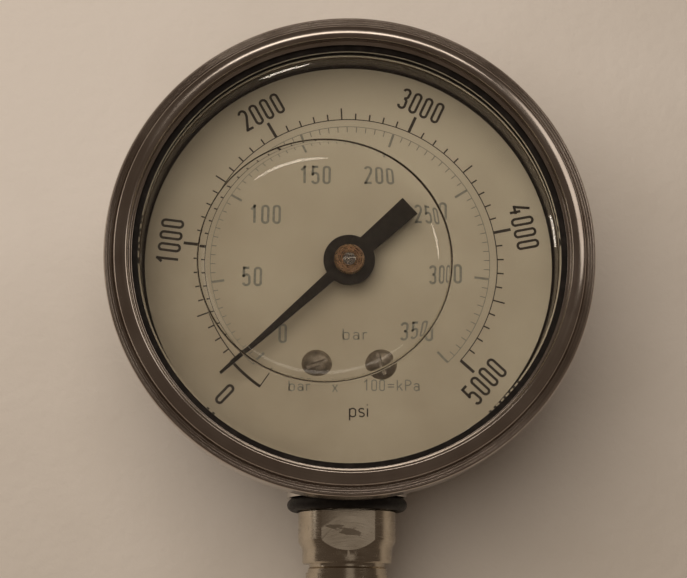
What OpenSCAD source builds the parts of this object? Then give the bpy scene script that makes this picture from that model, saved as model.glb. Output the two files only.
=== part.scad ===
// Liquid-filled Bourdon-tube pressure gauge, bottom connection, lying on its back.
// The pointer's axis is Z, the dial faces +Z, the stem points along -Y,
// and the origin is the centre of the back face.

/* [Case] */
// Outer radius of the drawn case
case_r = 30.4; // [29:0.1:38]
// Sheet thickness of the case
case_wall = 0.8; // [0.6:0.1:1.2]
// Height of the case from its back to the top of its rim flange
case_h = 26; // [25:0.1:32]
// Outer bend radius between the back and the wall
case_corner = 3; // [2:0.1:4]
// Width of the rim flange outside the case wall
flange_w = 3; // [2.6:0.1:4]
// Radius of the filling hole on top
fill_hole_r = 3; // [2:0.1:4]

/* [Bezel and window] */
// Sheet thickness of the bezel ring at its lip, side and curl
bezel_wall = 0.7; // [0.5:0.05:0.8]
// Gap between the rim flange and the bezel's side wall
bezel_gap = 0.1; // [0.05:0.05:0.3]
// Height of the bezel's crest above the window's face
crest_h = 2.4; // [2:0.1:4]
// How far the curl reaches under the flange
curl_w = 1.5; // [1:0.1:2]
// Thickness of the window
window_t = 3; // [2:0.1:4]
// Thickness of the window's thinner edge, under the gasket's lip
window_edge_t = 2.3; // [1.5:0.1:2.8]
// Thickness of the gasket under the window
gasket_floor = 0.6; // [0.4:0.1:1]
// Thickness of the gasket's lip over the window's edge
gasket_lip = 0.5; // [0.3:0.1:0.8]
// Width of the black lip that shows inside the bezel
lip_show = 0.7; // [0.4:0.1:1.2]

/* [Stem] */
// Height of the stem's axis above the back
stem_z = 12.5; // [12:0.1:14]
// Radius of the stem where it passes through the case
neck_r = 6.8; // [6:0.1:7]
// Clearance between the neck and the case, the collar and the ring seal
neck_gap = 0.05; // [0.03:0.01:0.1]
// Outer radius of the steel collar on the case
collar_r = 8.8; // [8:0.1:10]
// Length of the collar below the case
collar_len = 2.7; // [2:0.1:4]
// Cord thickness of the ring seal
oring_t = 1.9; // [1.4:0.1:2.4]
// Radius of the turned wrench body
body_r = 7.1; // [7:0.05:9]
// Length of the wrench body
body_len = 4.25; // [4:0.05:8]
// Distance across the two wrench flats
flats_w = 12; // [10:0.1:13]
// Radius of the cutter that milled the flats
flat_cutter_r = 5.56; // [4:0.1:8]
// How far the flats run past the wrench body
flat_runout = 1.5; // [0.5:0.1:2]
// Length of the taper below the wrench body
taper_len = 1.2; // [0.6:0.1:2]
// Radius of the pilot below the taper
pilot_r = 6.5; // [5.5:0.1:6.9]
// Length of the pilot
pilot_len = 2; // [1:0.1:4]
// Radius of the undercut above the thread
undercut_r = 5.5; // [4.5:0.1:5.9]
// Width of the undercut
undercut_w = 0.5; // [0.4:0.1:2]
// Major radius of the connection thread
thread_r = 6.5785; // [6.5785, 8.3310]
// Length of the connection thread
thread_len = 12; // [8:0.5:20]
// Radius of the centring spigot
spigot_r = 2.75; // [2.4:0.05:4]
// Length of the centring spigot
spigot_len = 2.5; // [1:0.1:4]
// Radius of the pressure inlet
inlet_r = 1.5; // [1:0.1:2]
// Length of the restrictor screw
restrictor_len = 4; // [3:0.5:8]
// Radius of the restrictor's orifice
orifice_r = 0.3; // [0.15:0.05:0.5]

/* [Socket block] */
// Width of the block inside the case
block_w = 15; // [14:0.1:16]
// Distance from the dial's centre to the block's near face
block_near = 12.8; // [12.6:0.1:13.5]
// Distance from the dial's centre to the block's far face
block_far = 26.2; // [25.5:0.1:26.2]
// Height of the block's front face
block_top = 18; // [17.5:0.1:18.3]
// Width of the ledge that carries the movement
ledge_w = 16; // [15:0.1:17]
// Distance from the dial's centre to the ledge's near end
ledge_near = 7.6; // [7:0.1:8]
// Height of the ledge
ledge_top = 7; // [6:0.1:7.4]
// Radius of the two back screws' shanks
back_screw_r = 1.5; // [1:0.1:1.8]
// Radius of the back screws' heads
back_screw_head_r = 2.9; // [2.4:0.1:3.2]
// Distance of each back screw from the centre line
back_screw_x = 4.4; // [3.5:0.1:4.6]
// Distance of the back screws below the dial's centre
back_screw_y = 19; // [17:0.1:21]

/* [Dial] */
// Height of the dial's face
dial_z = 20; // [19.8:0.1:21]
// Thickness of the dial
dial_t = 0.5; // [0.4:0.1:0.8]
// Gap between the dial's edge and the case wall
dial_gap = 0.3; // [0.1:0.1:0.6]
// Radius of the hole for the pointer's arbor
dial_hole_r = 3; // [2.6:0.1:3.4]
// Radius of the dial screws' shanks
dial_screw_r = 1; // [0.8:0.1:1.2]
// Radius of the dial screws' round heads
dial_screw_head_r = 2.2; // [1.6:0.1:2.6]
// Height of the dial screws' round heads
dial_screw_head_h = 1.1; // [0.8:0.1:1.4]
// Distance of each dial screw from the centre line
dial_screw_x = 4.6; // [4:0.1:5]
// Distance of the dial screws below the dial's centre
dial_screw_y = 15; // [14.8:0.1:17]

/* [Pointer] */
// Angle of the zero mark, counter-clockwise from +X
zero_angle = 227.8; // [225:0.1:230]
// Turn of the pointer past the zero mark at rest
rest_offset = 5.3; // [0:0.1:7]
// Length of the pointer's blade from the axis to the tip
blade_len = 24.6; // [20:0.1:26]
// Width of the blade where it leaves the hub
blade_root_w = 1.8; // [1.2:0.1:2.4]
// Width of the blade's tip
blade_tip_w = 0.4; // [0.3:0.1:0.8]
// Length of the tail from the axis
tail_len = 12; // [8:0.1:14]
// Width of the tail at the hub
tail_root_w = 2.5; // [2:0.1:3]
// Width of the tail's square end
tail_end_w = 3.2; // [2.4:0.1:4]
// Radius of the pointer's hub disc
hub_r = 3.7; // [3:0.1:4.5]
// Height of the pointer above the dial
pointer_lift = 2.3; // [1.8:0.1:2.6]
// Thickness of the pointer
pointer_t = 0.6; // [0.4:0.1:0.8]
// Radius of the brass boss
boss_r = 2.2; // [1.8:0.1:2.6]
// Height of the boss above the pointer
boss_h = 1; // [0.6:0.1:1.2]

/* [Movement] */
// Gear module
gear_m = 0.25; // [0.2:0.01:0.26]
// Teeth on the pinion
pinion_teeth = 12; // [12:1:14]
// Teeth that a whole wheel of the sector's size would have
sector_teeth = 108; // [96:1:110]
// Pressure angle of the teeth
pressure_angle = 25; // [24:0.5:26]
// Total backlash between the teeth
backlash = 0.06; // [0.04:0.01:0.1]
// Direction of the sector's pivot from the pointer's axis
sector_dir = -40; // [-44:1:-38]
// Distance between the sector's pivot and the link's pivot
tail_arm = 5; // [4.5:0.1:5.5]
// Direction of the sector's tail at rest
tail_dir = -36; // [-40:1:-32]
// Thickness of each movement plate
plate_t = 1; // [0.8:0.1:1.2]
// Gap between the two movement plates
plate_gap = 7.5; // [7.2:0.1:7.8]
// Radius of the arbors
arbor_r = 0.9; // [0.7:0.05:1]
// Radius of the arbors' pivots
pivot_r = 0.5; // [0.4:0.05:0.6]
// Running clearance of every pivot
pivot_gap = 0.04; // [0.02:0.01:0.08]
// End float of every arbor
end_float = 0.1; // [0.05:0.05:0.2]
// Radius of the pillars
pillar_r = 1.5; // [1.2:0.1:1.8]
// Radius of the link screws' shanks
link_pin_r = 0.6; // [0.4:0.05:0.7]
// Clearance in the link's hole over the sector's screw
link_slack = 0.25; // [0.2:0.05:0.4]
// Number of turns of the hairspring
spring_turns = 4; // [3:1:5]

/* [Bourdon tube] */
// Radius of the tube's centre line
tube_r = 22.5; // [22:0.1:24]
// Height of the tube's section
tube_h = 8; // [6:0.1:9]
// Thickness of the tube's section
tube_w = 3.6; // [3:0.1:4]
// Wall of the tube
tube_wall = 0.9; // [0.5:0.1:1.2]
// Angle at which the tube's free end lies
tip_angle = 2; // [0:1:6]
// Angle that the end cap covers
cap_angle = 7; // [5:0.5:8]

/* [Hidden] */
$fn = 96;

eps = 0.01; // overshoot of a cutting tool
seat_r = case_r - case_wall;
flange_r = case_r + flange_w;
flange_z = case_h - case_wall;

gasket_r = case_r + 0.9;
lip_r = case_r - lip_show;
window_r = seat_r + 0.65;
window_gap = 0.05;
window_z = case_h + gasket_floor;
window_top = window_z + window_t;
window_edge_top = window_z + window_edge_t;
gasket_top = window_edge_top + gasket_lip;

bezel_in_r = flange_r + bezel_gap;
bezel_r = bezel_in_r + bezel_wall + 0.1;
bezel_z = flange_z - 0.05 - bezel_wall;
crest_z = window_top + crest_h;
bead_r = 0.75;
bead_x = case_r + 1.65;
band_z = crest_z - 1.05;

neck_start = sqrt(case_r * case_r - (collar_r * collar_r));
collar_end = case_r + collar_len;
oring_gap = oring_t + 0.05;
body_start = collar_end + oring_gap;
body_end = body_start + body_len;
taper_end = body_end + taper_len;
pilot_end = taper_end + pilot_len;
thread_start = pilot_end + undercut_w;
thread_end = thread_start + thread_len;
spigot_end = thread_end + spigot_len;
bore_end = tube_r - 1.4;
restrictor_r = 1.95;
restrictor_start = spigot_end - 1.2 - restrictor_len;

floor_z = case_wall;
dial_r = seat_r - dial_gap;
dial_back = dial_z - dial_t;
rest_angle = zero_angle - rest_offset;
pointer_z = dial_z + pointer_lift;
dial_post_r = 1.9;
dome_r = (dial_screw_head_r * dial_screw_head_r + dial_screw_head_h * dial_screw_head_h) / 2 / dial_screw_head_h;

pinion_r = gear_m * pinion_teeth / 2;
sector_r = gear_m * sector_teeth / 2;
axis_gap = pinion_r + sector_r;
sector_x = axis_gap * cos(sector_dir);
sector_y = axis_gap * sin(sector_dir);
tail_x = sector_x + tail_arm * cos(tail_dir);
tail_y = sector_y + tail_arm * sin(tail_dir);
tip_x = 18.6;
tip_y = -4.6;
swing = (270 - rest_offset) * pinion_teeth / sector_teeth;

plate_z = ledge_top + plate_t;
top_plate_z = plate_z + plate_gap;
gear_z = plate_z + 1.6;
gear_t = 1.3;
link_z = gear_z + gear_t + 0.4;
link_t = 0.8;
spring_z = gear_z + 3.4;
spring_h = 0.6;
spring_t = 0.14;
spring_in = 1.6;
spring_pitch = 0.82;
spring_out = spring_in + spring_turns * spring_pitch;
stud_angle = 200;
stud_r = 0.4;
collet_r = spring_in - spring_t / 2;
pillars = [[-7.5, -3], [-1, 8.5], [13.5, 0.5]];
plate_screw_x = 6;
plate_screw_y = -10.2;
plate_screw_r = 0.8;
tube_z = stem_z;

// Points of an arc about (x, y), from angle a to angle b
function arc(x, y, r, a, b, n = 10) = [for (i = [0:n]) let (t = a + (b - a) * i / n)
    [x + r * cos(t), y + r * sin(t)]];

// Involute of a pressure angle, in degrees
function involute(a) = tan(a) * 180 / PI - a;

// Half of a tooth's angle at radius r on a wheel of n teeth
function half_tooth(n, r) = let (pitch_r = gear_m * n / 2, base_r = pitch_r * cos(pressure_angle))
    90 / n + involute(pressure_angle) - involute(acos(min(1, base_r / max(r, base_r))))
    - backlash / 4 / pitch_r * 180 / PI;

// Outline of one tooth centred on angle a, from root to tip and back
function tooth(n, a) = let (pitch_r = gear_m * n / 2, root_r = pitch_r - 1.2 * gear_m, steps = 5)
    concat([for (i = [0:steps]) let (r = root_r + 2.2 * gear_m * i / steps)
            r * [cos(a - half_tooth(n, r)), sin(a - half_tooth(n, r))]],
        [for (i = [steps:-1:0]) let (r = root_r + 2.2 * gear_m * i / steps)
            r * [cos(a + half_tooth(n, r)), sin(a + half_tooth(n, r))]]);

function join_lists(lists) = [for (list = lists) for (item = list) item];

module at_pair(x, y, z) {
    for (side = [-1, 1]) translate([side * x, y, z]) children();
}

// A bar that lies along -Y on the stem's axis, from one distance to another
module stem_bar(from, to, r1, r2) {
    translate([0, -from, stem_z]) rotate([90, 0, 0]) cylinder(h = to - from, r1 = r1, r2 = r2);
}

module slotted_screw(r, head_r, head_h, length) {
    difference() {
        union() {
            translate([0, 0, -length]) cylinder(h = length, r = r);
            cylinder(h = head_h, r = head_r);
        }
        translate([-head_r - 1, -head_r / 8, head_h * 0.55]) cube([2 * head_r + 2, head_r / 4, head_h]);
    }
}

// ---- Case, bezel and window ----

module case_shell() {
    bend = 0.9;
    rotate_extrude() polygon(concat(
        [[0, 0]],
        arc(case_r - case_corner, case_corner, case_corner, -90, 0),
        [[case_r, flange_z - 0.1]],
        [[case_r + 0.1, flange_z], [flange_r, flange_z], [flange_r, case_h]],
        arc(seat_r + bend, case_h - bend, bend, 90, 180),
        arc(case_r - case_corner, case_corner, case_corner - case_wall, 0, -90),
        [[0, case_wall]]));
}

module case() {
    color("silver") difference() {
        case_shell();
        stem_bar(seat_r - 4, case_r + 1, neck_r + neck_gap, neck_r + neck_gap);
        at_pair(back_screw_x, -back_screw_y, -eps) back_screw_cut();
        translate([0, case_r + 1, stem_z]) rotate([90, 0, 0]) cylinder(h = 4, r = fill_hole_r);
    }
}

module bezel_ring() {
    turned = 0.22;
    color("lightslategray") rotate_extrude() polygon(concat(
        [[case_r, gasket_top], [case_r, gasket_top + bezel_wall]],
        [[case_r + 0.5, gasket_top + bezel_wall + 0.35]],
        arc(bead_x, crest_z - bead_r, bead_r, 165, 10, 14),
        [[bead_x + bead_r + 0.05, band_z - 0.15], [bead_x + bead_r + 0.2, band_z - 0.15]],
        [for (i = [0:2]) for (k = [0, 1]) [bead_x + bead_r + 0.25 + (2 * i + k) * turned, band_z - 0.07 * k]],
        arc(bezel_r - 0.45, band_z - 0.55, 0.45, 80, 0, 6),
        arc(bezel_r - 0.6, bezel_z + 0.6, 0.6, 0, -90, 6),
        [[flange_r - curl_w, bezel_z], [flange_r - curl_w, bezel_z + bezel_wall]],
        [[bezel_in_r, bezel_z + bezel_wall], [bezel_in_r, band_z - 1.1], [bead_x + 0.9, band_z - 0.95]],
        [[bead_x, crest_z - bezel_wall - 0.35], [gasket_r + 0.1, gasket_top + 0.35]],
        [[gasket_r, gasket_top]]));
}

module window_gasket() {
    color("black") rotate_extrude() polygon([
        [seat_r + 0.2, case_h], [gasket_r, case_h], [gasket_r, gasket_top], [lip_r, gasket_top],
        [lip_r, window_edge_top], [window_r + window_gap, window_edge_top],
        [window_r + window_gap, window_z], [seat_r + 0.2, window_z]]);
}

module window() {
    bevel = 0.25;
    rim_r = lip_r - window_gap;
    color("lightyellow", 0.35) rotate_extrude() polygon([
        [0, window_z], [window_r, window_z], [window_r, window_edge_top], [rim_r, window_edge_top],
        [rim_r, window_top - bevel], [rim_r - bevel, window_top], [0, window_top]]);
}

module fill_plug() {
    head_r = fill_hole_r + 1.5;
    color("black") translate([0, 0, stem_z]) rotate([-90, 0, 0]) difference() {
        union() {
            cylinder(h = case_r + 0.3, r = fill_hole_r);
            translate([0, 0, case_r - 1]) cylinder(h = 2.6, r = head_r);
            cylinder(h = seat_r - 0.6, r = fill_hole_r + 0.5);
        }
        cylinder(h = seat_r - 2.4, r = head_r);
        rotate([90, 0, 0]) fill_wall_cut(head_r);
    }
}

// The case wall's own thickness, taken out of the plug around its stem
module fill_wall_cut(head_r) {
    difference() {
        cylinder(h = 2 * head_r + 2, r = case_r, center = true);
        cylinder(h = 2 * head_r + 4, r = seat_r, center = true);
        rotate([-90, 0, 0]) cylinder(h = case_r + 2, r = fill_hole_r);
    }
}

// ---- Stem and socket ----

module neck_collar() {
    color("silver") difference() {
        stem_bar(neck_start - 1, collar_end, collar_r, collar_r);
        stem_bar(neck_start - 2, collar_end + 1, neck_r + neck_gap, neck_r + neck_gap);
        cylinder(h = case_h, r = case_r);
    }
}

module stem_oring() {
    color("black") translate([0, -collar_end - oring_gap / 2, stem_z]) rotate([90, 0, 0])
        rotate_extrude() translate([neck_r + neck_gap + oring_t / 2, 0]) circle(d = oring_t, $fn = 48);
}

module wrench_flat_cuts() {
    reach = body_end + flat_runout - flat_cutter_r;
    for (side = [-1, 1]) translate([0, 0, stem_z + side * (flats_w / 2 + 5)]) {
        translate([0, -reach, 0]) cylinder(h = 10, r = flat_cutter_r, center = true);
        translate([-flat_cutter_r, -reach, -5]) cube([2 * flat_cutter_r, reach - body_start, 10]);
    }
}

module socket_stem() {
    stem_bar(block_far - eps, body_start, neck_r, neck_r);
    stem_bar(body_start, body_end, body_r, body_r);
    stem_bar(body_end, taper_end, body_r, pilot_r);
    stem_bar(taper_end, pilot_end, pilot_r, pilot_r);
    stem_bar(pilot_end, thread_start, undercut_r, undercut_r);
    stem_bar(thread_start, thread_end, thread_r, thread_r);
    stem_bar(thread_end, spigot_end, spigot_r, spigot_r);
}

module socket_block() {
    translate([-block_w / 2, -block_far, floor_z]) cube([block_w, block_far - block_near, block_top - floor_z]);
    translate([-ledge_w / 2, -block_near - 3, floor_z + 1.2])
        cube([ledge_w, block_near - ledge_near + 3, ledge_top - floor_z - 1.2]);
    at_pair(dial_screw_x, -dial_screw_y, block_top) cylinder(h = dial_back - block_top, r = dial_post_r);
}

module socket() {
    color("tan") difference() {
        union() {
            difference() {
                socket_stem();
                wrench_flat_cuts();
            }
            socket_block();
        }
        stem_bar(bore_end - inlet_r, spigot_end + 1, inlet_r, inlet_r);
        stem_bar(restrictor_start, restrictor_start + restrictor_len, restrictor_r, restrictor_r);
        translate([-block_w / 2 - 1, -bore_end, tube_z]) rotate([0, 90, 0]) cylinder(h = block_w / 2 + 1, r = 1);
        at_pair(back_screw_x, -back_screw_y, -eps) back_screw_cut();
        at_pair(dial_screw_x, -dial_screw_y, dial_back - 4) cylinder(h = 5, r = dial_screw_r);
        at_pair(plate_screw_x, plate_screw_y, ledge_top - 3) cylinder(h = 4, r = plate_screw_r);
    }
}

module restrictor_screw() {
    color("goldenrod") difference() {
        stem_bar(restrictor_start, restrictor_start + restrictor_len, restrictor_r, restrictor_r);
        stem_bar(restrictor_start - 1, restrictor_start + restrictor_len + 1, orifice_r, orifice_r);
        translate([-3, -restrictor_start - restrictor_len - 1, stem_z - 0.25]) cube([6, 1.8, 0.5]);
    }
}

module back_screw_form(extra) {
    sink = back_screw_head_r - back_screw_r;
    translate([0, 0, -extra]) cylinder(h = extra + 0.2, r = back_screw_head_r);
    translate([0, 0, 0.2]) cylinder(h = sink, r1 = back_screw_head_r, r2 = back_screw_r);
    translate([0, 0, 0.2]) cylinder(h = 8, r = back_screw_r);
}

module back_screw_cut() {
    translate([0, 0, eps]) back_screw_form(1);
}

module back_screws() {
    color("dimgray") at_pair(back_screw_x, -back_screw_y, 0) difference() {
        back_screw_form(0);
        translate([-0.4, -4, -1]) cube([0.8, 8, 1.9]);
    }
}

// ---- Dial and pointer ----

module dial() {
    color("antiquewhite") difference() {
        translate([0, 0, dial_back]) cylinder(h = dial_t, r = dial_r);
        translate([0, 0, dial_back - 1]) cylinder(h = dial_t + 2, r = dial_hole_r);
        at_pair(dial_screw_x, -dial_screw_y, dial_back - 1) cylinder(h = dial_t + 2, r = dial_screw_r);
    }
}

module dial_screws() {
    color("dimgray") at_pair(dial_screw_x, -dial_screw_y, dial_z) difference() {
        union() {
            translate([0, 0, -dial_t - 3.5]) cylinder(h = dial_t + 3.5, r = dial_screw_r);
            rotate_extrude() polygon(concat([[0, 0]],
                arc(0, dial_screw_head_h - dome_r, dome_r, asin(1 - dial_screw_head_h / dome_r), 90)));
        }
        translate([-3, -0.25, dial_screw_head_h * 0.5]) cube([6, 0.5, dial_screw_head_h]);
    }
}

module pointer() {
    color("black") rotate([0, 0, rest_angle]) difference() {
        translate([0, 0, pointer_z]) union() {
            linear_extrude(pointer_t) polygon([[0, -blade_root_w / 2], [blade_len, -blade_tip_w / 2],
                [blade_len, blade_tip_w / 2], [0, blade_root_w / 2]]);
            linear_extrude(pointer_t) polygon([[0, -tail_root_w / 2], [0, tail_root_w / 2],
                [-tail_len, tail_end_w / 2], [-tail_len, -tail_end_w / 2]]);
            cylinder(h = pointer_t, r = hub_r);
        }
        translate([0, 0, pointer_z - 1]) cylinder(h = pointer_t + 2, r = boss_r * 0.7);
    }
}

module pointer_boss() {
    color("peru") translate([0, 0, pointer_z]) difference() {
        union() {
            translate([0, 0, -0.5]) cylinder(h = 0.5, r = boss_r);
            cylinder(h = pointer_t, r = boss_r * 0.7);
            translate([0, 0, pointer_t]) cylinder(h = boss_h - 0.2, r = boss_r);
            translate([0, 0, pointer_t + boss_h - 0.2]) cylinder(h = 0.2, r1 = boss_r, r2 = boss_r - 0.2);
        }
        translate([0, 0, -1]) cylinder(h = pointer_t + boss_h + 2, r = arbor_r);
    }
}

// ---- Movement ----

module pinion_arbor() {
    pinion_outline = join_lists([for (i = [0:pinion_teeth - 1])
        tooth(pinion_teeth, sector_dir + (i + 0.5) * 360 / pinion_teeth)]);
    color("gold") {
        translate([0, 0, plate_z + 1]) linear_extrude(2.6) polygon(pinion_outline);
        translate([0, 0, plate_z - plate_t]) cylinder(h = plate_t + 1, r = pivot_r);
        translate([0, 0, plate_z + end_float]) cylinder(h = 0.9, r = arbor_r);
        translate([0, 0, plate_z + 3.6]) cylinder(h = pointer_z + pointer_t + boss_h - plate_z - 3.6, r = arbor_r);
    }
}

module hairspring_collet() {
    color("goldenrod") translate([0, 0, spring_z - 0.3]) difference() {
        cylinder(h = spring_h + 0.6, r = collet_r);
        translate([0, 0, -1]) cylinder(h = spring_h + 3, r = arbor_r);
    }
}

module hairspring() {
    turns = spring_turns;
    steps = turns * 24;
    inner = [for (i = [0:steps]) let (a = stud_angle + i * 15, r = spring_in + spring_pitch * i / 24)
        r * [cos(a), sin(a)]];
    outer = [for (i = [steps:-1:0]) let (a = stud_angle + i * 15, r = spring_in + spring_pitch * i / 24 + spring_t)
        r * [cos(a), sin(a)]];
    color("orange") translate([0, 0, spring_z]) linear_extrude(spring_h) polygon(concat(inner, outer));
}

module hairspring_stud() {
    reach = spring_out + spring_t + stud_r + 0.02;
    color("goldenrod") rotate([0, 0, stud_angle]) translate([reach, 0, spring_z - 0.2])
        cylinder(h = top_plate_z - spring_z + 0.2, r = stud_r);
}

// The sector's toothed rim, its two arms, its hub and its tail
module sector_gear() {
    pitch_angle = 360 / sector_teeth;
    centre = 180 + sector_dir;
    before = ceil((swing + 7) / pitch_angle);
    rim_out = sector_r - 1.2 * gear_m;
    rim_in = rim_out - 2;
    rim_teeth = join_lists([for (i = [-before:2]) tooth(sector_teeth, centre + i * pitch_angle)]);
    first = centre - (before + 0.5) * pitch_angle;
    last = centre + 2.5 * pitch_angle;
    color("goldenrod") translate([sector_x, sector_y, gear_z]) difference() {
        union() {
            linear_extrude(gear_t) polygon(concat(
                [rim_out * [cos(first), sin(first)]], rim_teeth, [rim_out * [cos(last), sin(last)]],
                arc(0, 0, rim_in, last, first, 16)));
            for (a = [first + 3, last - 3]) rotate([0, 0, a]) translate([0, -0.8, 0])
                cube([rim_out - 0.5, 1.6, gear_t]);
            translate([0, 0, -1]) cylinder(h = gear_t + 2.5, r = 2);
            rotate([0, 0, tail_dir]) translate([0, -1.3, 0]) cube([tail_arm, 2.6, gear_t]);
            rotate([0, 0, tail_dir]) translate([tail_arm, 0, 0]) cylinder(h = gear_t, r = 1.5);
        }
        translate([0, 0, -2]) cylinder(h = 8, r = arbor_r);
        rotate([0, 0, tail_dir]) translate([tail_arm, 0, -1]) cylinder(h = 4, r = link_pin_r);
    }
}

module sector_arbor() {
    color("gold") translate([sector_x, sector_y, 0]) {
        translate([0, 0, plate_z - plate_t]) cylinder(h = plate_gap + 2 * plate_t, r = pivot_r);
        translate([0, 0, plate_z + end_float]) cylinder(h = plate_gap - 2 * end_float, r = arbor_r);
    }
}

module link_screw() {
    cylinder(h = link_z - gear_z + link_t + 0.2, r = link_pin_r);
    translate([0, 0, link_z - gear_z + link_t + 0.2]) difference() {
        cylinder(h = 0.6, r = 1.15);
        translate([-2, -0.15, 0.3]) cube([4, 0.3, 1]);
    }
}

module sector_link_screw() {
    color("dimgray") translate([tail_x, tail_y, gear_z]) link_screw();
}

module tube_link_screw() {
    color("dimgray") translate([tip_x, tip_y, gear_z]) link_screw();
}

module link() {
    eye_r = 1.45;
    run = [tip_x - tail_x, tip_y - tail_y];
    span = norm(run);
    color("goldenrod") translate([tail_x, tail_y, link_z]) rotate([0, 0, atan2(run[1], run[0])]) difference() {
        union() {
            cylinder(h = link_t, r = eye_r);
            translate([span, 0, 0]) cylinder(h = link_t, r = eye_r);
            translate([0, -0.9, 0]) cube([span, 1.8, link_t]);
        }
        translate([0, 0, -1]) cylinder(h = 3, r = link_pin_r + link_slack);
        translate([span, 0, -1]) cylinder(h = 3, r = link_pin_r + pivot_gap);
    }
}

module plate_outline(inset) {
    hull() {
        translate([-7, -8.5]) circle(r = 3 - inset, $fn = 32);
        translate([-7.2, -2.5]) circle(r = 3.2 - inset, $fn = 32);
        translate([-1, 8]) circle(r = 3.4 - inset, $fn = 32);
        translate([13.2, 0.5]) circle(r = 2.8 - inset, $fn = 32);
        translate([sector_x, sector_y + 0.4]) circle(r = 3.2 - inset, $fn = 32);
    }
}

module arbor_holes(top) {
    wide = top ? arbor_r : pivot_r;
    translate([0, 0, -1]) cylinder(h = plate_t + 2, r = wide + pivot_gap);
    translate([sector_x, sector_y, -1]) cylinder(h = plate_t + 2, r = pivot_r + pivot_gap);
}

module movement_bottom_plate() {
    color("darkkhaki") translate([0, 0, plate_z - plate_t]) difference() {
        linear_extrude(plate_t) plate_outline(0);
        arbor_holes(false);
        at_pair(plate_screw_x, plate_screw_y, -1) cylinder(h = plate_t + 2, r = plate_screw_r);
        for (p = pillars) translate([p[0], p[1], -1]) cylinder(h = plate_t + 2, r = 0.8);
    }
}

module movement_top_plate() {
    color("darkkhaki") translate([0, 0, top_plate_z]) difference() {
        linear_extrude(plate_t) plate_outline(0.2);
        arbor_holes(true);
        for (p = pillars) translate([p[0], p[1], -1]) cylinder(h = plate_t + 2, r = 0.7);
    }
}

module movement_pillars() {
    color("goldenrod") for (p = pillars) translate([p[0], p[1], plate_z]) difference() {
        union() {
            cylinder(h = plate_gap, r = pillar_r);
            translate([0, 0, -plate_t]) cylinder(h = plate_t, r = 0.8);
        }
        translate([0, 0, plate_gap - 2.5]) cylinder(h = 3, r = 0.7);
    }
}

module pillar_screws() {
    color("dimgray") for (p = pillars) translate([p[0], p[1], top_plate_z + plate_t])
        slotted_screw(0.7, 1.3, 0.7, plate_t + 2.3);
}

module movement_screws() {
    color("dimgray") at_pair(plate_screw_x, plate_screw_y, plate_z)
        slotted_screw(plate_screw_r, 1.6, 0.9, plate_t + 2.5);
}

// ---- Bourdon tube ----

// A flat-sided oval that stands on its end
module oval(w, h) {
    square([w, h - w], center = true);
    for (side = [-1, 1]) translate([0, side * (h - w) / 2]) circle(d = w, $fn = 48);
}

module bourdon_tube() {
    root = 180 + acos(block_w / 2 / tube_r) + 8;
    color("darkgoldenrod") translate([0, 0, tube_z]) difference() {
        rotate([0, 0, tip_angle]) rotate_extrude(angle = root - tip_angle) translate([tube_r, 0]) difference() {
            oval(tube_w, tube_h);
            oval(tube_w - 2 * tube_wall, tube_h - 2 * tube_wall);
        }
        translate([-block_w / 2, -block_far, -tube_h]) cube([block_w, block_far, 2 * tube_h]);
    }
}

module tube_end_cap() {
    cap_w = tube_w + 1;
    tongue = atan2(tip_y, tip_x);
    color("peru") difference() {
        union() {
            translate([0, 0, tube_z - tube_h / 2 - 0.4]) rotate([0, 0, tip_angle - cap_angle])
                rotate_extrude(angle = cap_angle) translate([tube_r - cap_w / 2, 0]) square([cap_w, tube_h + 0.8]);
            rotate([0, 0, tongue - 3]) rotate_extrude(angle = tip_angle - cap_angle / 2 - tongue + 3)
                translate([norm([tip_x, tip_y]) - 1.3, gear_z]) square([4, gear_t]);
            translate([tip_x, tip_y, gear_z]) cylinder(h = gear_t, r = 1.6);
        }
        translate([tip_x, tip_y, gear_z - 1]) cylinder(h = gear_t + 2, r = link_pin_r);
    }
}

case();
bezel_ring();
window_gasket();
window();
dial();
dial_screws();
pointer();
pointer_boss();
pinion_arbor();
hairspring_collet();
hairspring();
hairspring_stud();
sector_gear();
sector_arbor();
sector_link_screw();
link();
tube_link_screw();
tube_end_cap();
bourdon_tube();
movement_bottom_plate();
movement_top_plate();
movement_pillars();
pillar_screws();
movement_screws();
socket();
restrictor_screw();
neck_collar();
stem_oring();
back_screws();
fill_plug();
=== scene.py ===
import math

import bmesh
import bpy
from mathutils import Matrix, Vector


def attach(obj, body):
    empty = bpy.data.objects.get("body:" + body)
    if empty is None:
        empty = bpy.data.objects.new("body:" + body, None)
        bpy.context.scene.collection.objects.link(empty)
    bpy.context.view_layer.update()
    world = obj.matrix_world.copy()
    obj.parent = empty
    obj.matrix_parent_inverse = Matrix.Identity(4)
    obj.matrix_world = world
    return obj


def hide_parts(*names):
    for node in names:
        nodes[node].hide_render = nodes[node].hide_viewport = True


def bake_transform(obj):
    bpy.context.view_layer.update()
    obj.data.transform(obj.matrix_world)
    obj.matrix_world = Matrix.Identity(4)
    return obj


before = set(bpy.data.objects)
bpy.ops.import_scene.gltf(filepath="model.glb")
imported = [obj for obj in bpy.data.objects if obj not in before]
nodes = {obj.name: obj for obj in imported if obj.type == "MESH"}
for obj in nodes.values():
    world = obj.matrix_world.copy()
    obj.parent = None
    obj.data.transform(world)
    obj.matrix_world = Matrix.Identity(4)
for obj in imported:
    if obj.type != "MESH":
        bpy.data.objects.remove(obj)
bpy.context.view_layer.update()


# ---- Case ----
# A cup deep-drawn from stainless sheet, with a rolled rim and a hole for the stem.
# Its outside keeps the fine lines of the polishing wheel that ran round it.

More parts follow.
